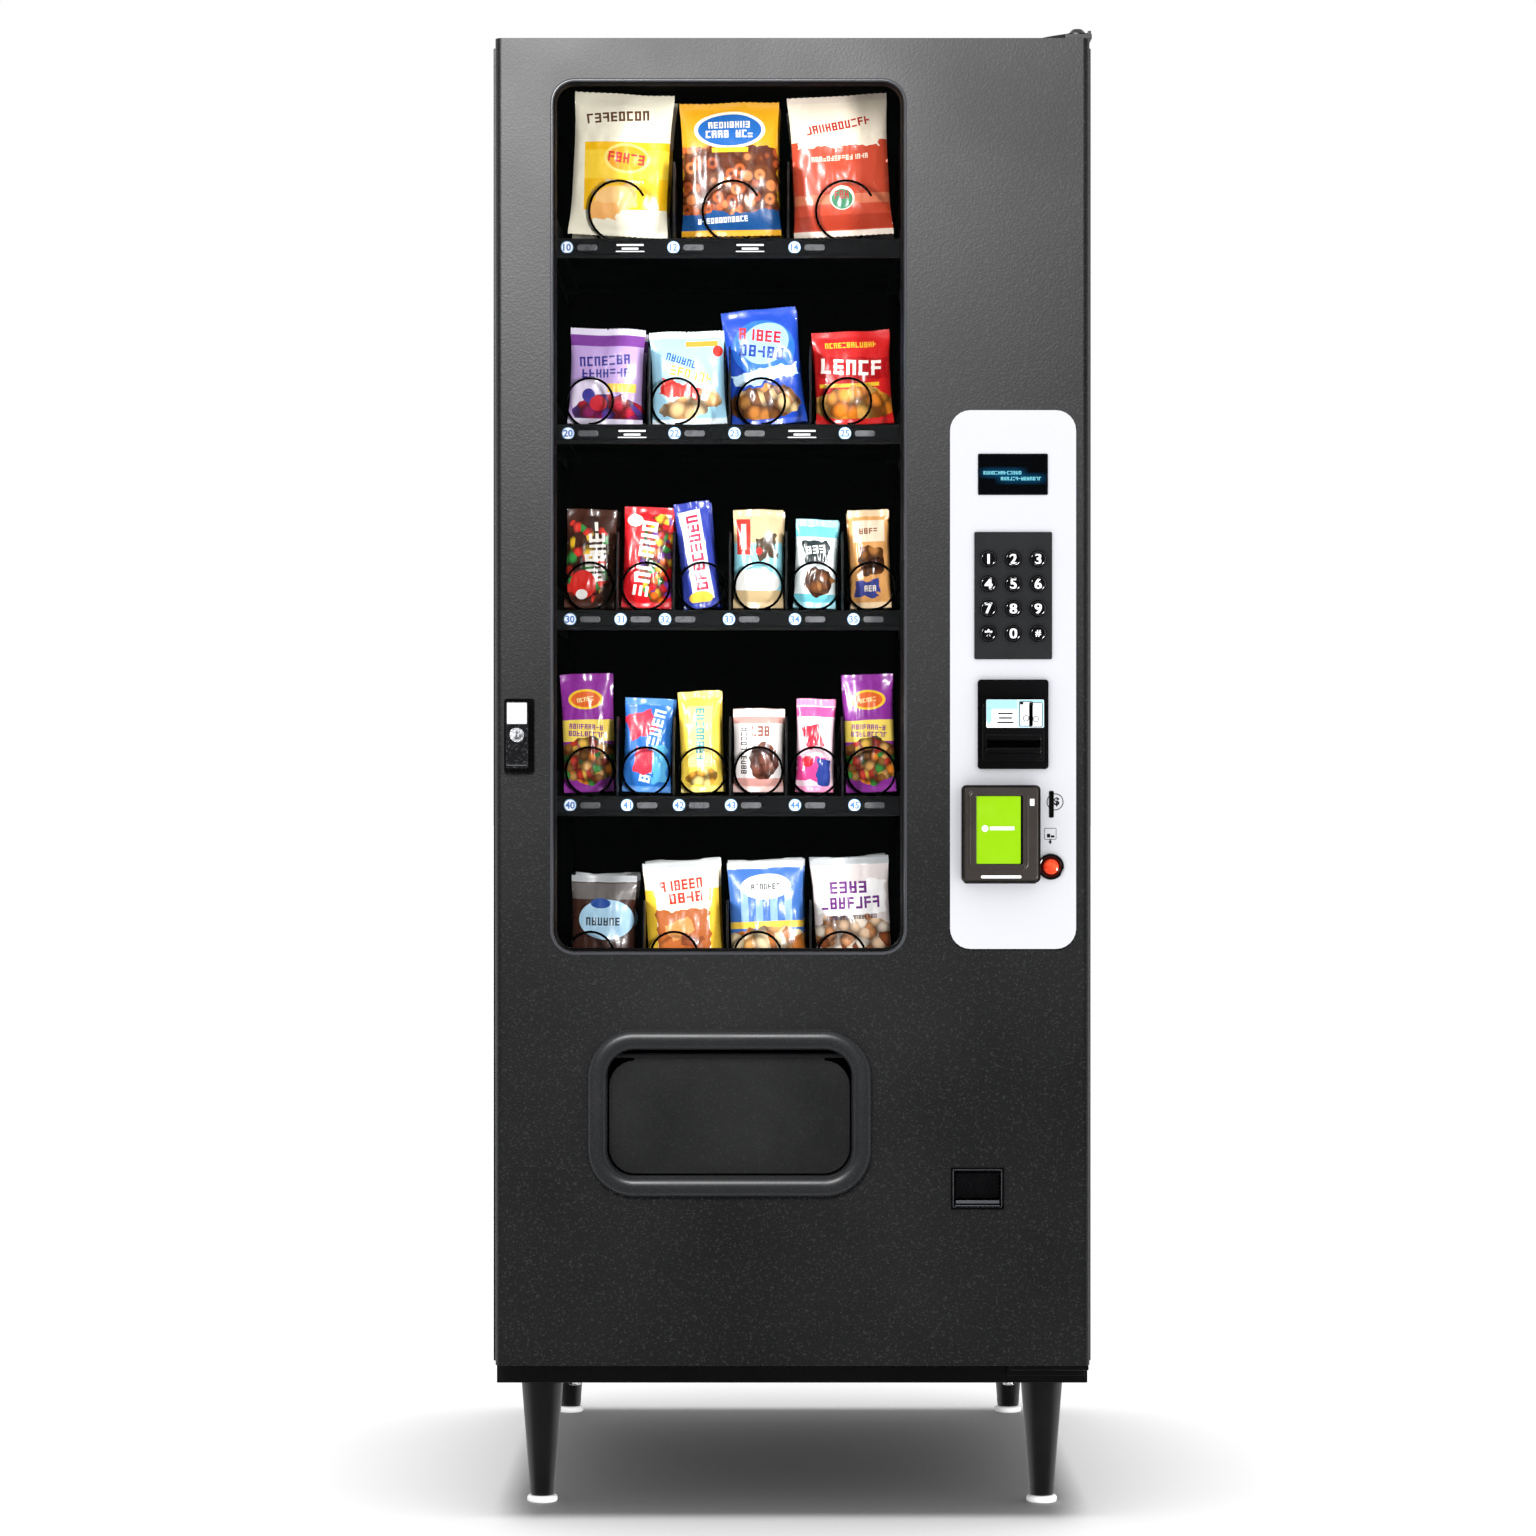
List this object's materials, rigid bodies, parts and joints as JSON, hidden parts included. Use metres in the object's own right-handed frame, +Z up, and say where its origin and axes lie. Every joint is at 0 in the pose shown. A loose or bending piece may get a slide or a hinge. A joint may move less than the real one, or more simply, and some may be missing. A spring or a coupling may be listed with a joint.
{
  "type": "snack vending machine",
  "caption": "Free-standing snack vending machine: hinged door with window, spiral trays behind it, payment panel, delivery hatch and coin return.",
  "frame": {"origin": "on the floor, under the middle of the machine's bounding box", "axes": "+Z up, the door faces -Y, +X to the right as seen by a customer"},
  "size_m": [0.75, 0.925, 1.847],
  "materials": {
    "cabinet_paint": "fine-textured charcoal powder coat on sheet steel",
    "liner_paint": "smooth black paint on sheet steel",
    "frame_paint": "satin black paint on folded steel",
    "leg_paint": "satin black paint on tapered steel tube",
    "glide_nylon": "moulded white nylon",
    "bolt_zinc": "bright zinc plate",
    "tray_paint": "satin black paint on sheet steel",
    "rail_plastic": "extruded black PVC with printed badges",
    "runner_steel": "galvanised steel",
    "motor_plastic": "moulded gearbox case",
    "spiral_wire": "black dip-coated spring wire",
    "pack_film": "printed and crimped packaging film",
    "strike_zinc": "zinc-plated steel",
    "cash_steel": "spot-welded steel sheet",
    "control_case": "moulded electronics case",
    "inlet_plastic": "moulded thermoplastic",
    "glass": "clear toughened glass",
    "gasket_rubber": "extruded black rubber",
    "bezel_plastic": "moulded black ABS with a fine grain",
    "panel_print": "semi-matt printed polycarbonate overlay",
    "display_glass": "smoked acrylic over a dot-matrix display",
    "keypad_metal": "die-cast plate with a grained dark coat",
    "key_plastic": "moulded glossy keys with white legends",
    "validator_plastic": "moulded polished ABS",
    "reader_plastic": "moulded grained ABS",
    "button_red": "moulded translucent acrylic",
    "lock_black": "black-coated die-cast zinc",
    "lock_steel": "turned and plated brass",
    "changer_plastic": "moulded ABS",
    "lamp_white": "frosted lamp cover"
  },
  "bodies": {
    "cabinet": {"cabinet_shell": "cabinet_paint", "product_liner": "liner_paint", "base_frame": "frame_paint", "legs": "leg_paint", "leg_glides": "glide_nylon", "hex_bolts": "bolt_zinc", "hinge_plates": "frame_paint", "tray_pans": "tray_paint", "tray_dividers": "tray_paint", "selection_rails": "rail_plastic", "tray_runners": "runner_steel", "spiral_motors": "motor_plastic", "fixed_spirals": "spiral_wire", "fixed_packs": "pack_film", "latch_strike": "strike_zinc", "cash_box": "cash_steel", "control_box": "control_case", "power_inlet": "inlet_plastic"},
    "door": {"door_shell": "cabinet_paint", "door_liner": "liner_paint", "window_glass": "glass", "window_gasket": "gasket_rubber", "delivery_bezel": "bezel_plastic", "delivery_bin": "bezel_plastic", "coin_cup": "bezel_plastic", "control_panel": "panel_print", "display_lens": "display_glass", "keypad_plate": "keypad_metal", "bill_validator": "validator_plastic", "card_reader": "reader_plastic", "card_reader_mount": "validator_plastic", "coin_return_ring": "validator_plastic", "lock_housing": "lock_black", "coin_changer": "changer_plastic", "window_light": "lamp_white", "door_gasket": "gasket_rubber"},
    "delivery_flap": {"delivery_flap": "bezel_plastic"},
    "coin_flap": {"coin_flap": "bezel_plastic"},
    "coin_return_button": {"coin_return_button": "button_red"},
    "key_1": {"key_1": "key_plastic"},
    "key_2": {"key_2": "key_plastic"},
    "key_3": {"key_3": "key_plastic"},
    "key_4": {"key_4": "key_plastic"},
    "key_5": {"key_5": "key_plastic"},
    "key_6": {"key_6": "key_plastic"},
    "key_7": {"key_7": "key_plastic"},
    "key_8": {"key_8": "key_plastic"},
    "key_9": {"key_9": "key_plastic"},
    "key_star": {"key_star": "key_plastic"},
    "key_0": {"key_0": "key_plastic"},
    "key_hash": {"key_hash": "key_plastic"},
    "latch": {"latch_cam": "strike_zinc"},
    "lock_handle": {"lock_handle": "lock_black"},
    "lock_cylinder": {"lock_cylinder": "lock_steel"},
    "spiral_10": {"spiral_10": "spiral_wire"},
    "packs_10": {"packs_10": "pack_film"},
    "spiral_12": {"spiral_12": "spiral_wire"},
    "packs_12": {"packs_12": "pack_film"},
    "spiral_14": {"spiral_14": "spiral_wire"},
    "packs_14": {"packs_14": "pack_film"}
  },
  "joints": [
    {"name": "main_door", "type": "hinge", "parent": "cabinet", "child": "door", "pos_m": [0.3545, -0.3895, 1.01], "axis": [0, 0, 1], "range_deg": [0, 110]},
    {"name": "delivery_flap_swing", "type": "hinge", "parent": "door", "child": "delivery_flap", "pos_m": [-0.078, -0.411, 0.572], "axis": [1, 0, 0], "range_deg": [0, 70]},
    {"name": "coin_flap_swing", "type": "hinge", "parent": "door", "child": "coin_flap", "pos_m": [0.22825, -0.42275, 0.427], "axis": [1, 0, 0], "range_deg": [0, 65]},
    {"name": "coin_return_push", "type": "slide", "parent": "door", "child": "coin_return_button", "axis": [0, 1, 0], "range_m": [0, 0.0035], "stiffness_N_per_m": 300},
    {"name": "key_1_press", "type": "slide", "parent": "door", "child": "key_1", "axis": [0, 1, 0], "range_m": [0, 0.0015], "stiffness_N_per_m": 400},
    {"name": "key_2_press", "type": "slide", "parent": "door", "child": "key_2", "axis": [0, 1, 0], "range_m": [0, 0.0015], "stiffness_N_per_m": 400},
    {"name": "key_3_press", "type": "slide", "parent": "door", "child": "key_3", "axis": [0, 1, 0], "range_m": [0, 0.0015], "stiffness_N_per_m": 400},
    {"name": "key_4_press", "type": "slide", "parent": "door", "child": "key_4", "axis": [0, 1, 0], "range_m": [0, 0.0015], "stiffness_N_per_m": 400},
    {"name": "key_5_press", "type": "slide", "parent": "door", "child": "key_5", "axis": [0, 1, 0], "range_m": [0, 0.0015], "stiffness_N_per_m": 400},
    {"name": "key_6_press", "type": "slide", "parent": "door", "child": "key_6", "axis": [0, 1, 0], "range_m": [0, 0.0015], "stiffness_N_per_m": 400},
    {"name": "key_7_press", "type": "slide", "parent": "door", "child": "key_7", "axis": [0, 1, 0], "range_m": [0, 0.0015], "stiffness_N_per_m": 400},
    {"name": "key_8_press", "type": "slide", "parent": "door", "child": "key_8", "axis": [0, 1, 0], "range_m": [0, 0.0015], "stiffness_N_per_m": 400},
    {"name": "key_9_press", "type": "slide", "parent": "door", "child": "key_9", "axis": [0, 1, 0], "range_m": [0, 0.0015], "stiffness_N_per_m": 400},
    {"name": "key_star_press", "type": "slide", "parent": "door", "child": "key_star", "axis": [0, 1, 0], "range_m": [0, 0.0015], "stiffness_N_per_m": 400},
    {"name": "key_0_press", "type": "slide", "parent": "door", "child": "key_0", "axis": [0, 1, 0], "range_m": [0, 0.0015], "stiffness_N_per_m": 400},
    {"name": "key_hash_press", "type": "slide", "parent": "door", "child": "key_hash", "axis": [0, 1, 0], "range_m": [0, 0.0015], "stiffness_N_per_m": 400},
    {"name": "latch_turn", "type": "hinge", "parent": "door", "child": "latch", "pos_m": [-0.3396, -0.4275, 0.969], "axis": [0, 1, 0], "range_deg": [0, 90]},
    {"name": "lock_handle_pop", "type": "slide", "parent": "latch", "child": "lock_handle", "axis": [0, -1, 0], "range_m": [0, 0.012]},
    {"name": "lock_key_turn", "type": "hinge", "parent": "lock_handle", "child": "lock_cylinder", "pos_m": [-0.3396, -0.4425, 0.969], "axis": [0, 1, 0], "range_deg": [0, 90]},
    {"name": "spiral_10_turn", "type": "hinge", "parent": "cabinet", "child": "spiral_10", "pos_m": [-0.2224, 0, 1.6412], "axis": [0, -1, 0], "range_deg": [0, 360]},
    {"name": "packs_10_feed", "type": "slide", "parent": "cabinet", "child": "packs_10", "axis": [0, -1, 0], "range_m": [0, 0.0601]},
    {"name": "spiral_12_turn", "type": "hinge", "parent": "cabinet", "child": "spiral_12", "pos_m": [-0.0772, 0, 1.6412], "axis": [0, -1, 0], "range_deg": [0, 360]},
    {"name": "packs_12_feed", "type": "slide", "parent": "cabinet", "child": "packs_12", "axis": [0, -1, 0], "range_m": [0, 0.0601]},
    {"name": "spiral_14_turn", "type": "hinge", "parent": "cabinet", "child": "spiral_14", "pos_m": [0.068, 0, 1.6412], "axis": [0, -1, 0], "range_deg": [0, 360]},
    {"name": "packs_14_feed", "type": "slide", "parent": "cabinet", "child": "packs_14", "axis": [0, -1, 0], "range_m": [0, 0.0601]}
  ],
  "couplings": [
    {"joint": "packs_10_feed", "follows": "spiral_10_turn", "m_per_rad": 0.0095493},
    {"joint": "packs_12_feed", "follows": "spiral_12_turn", "m_per_rad": 0.0095493},
    {"joint": "packs_14_feed", "follows": "spiral_14_turn", "m_per_rad": 0.0095493}
  ]
}
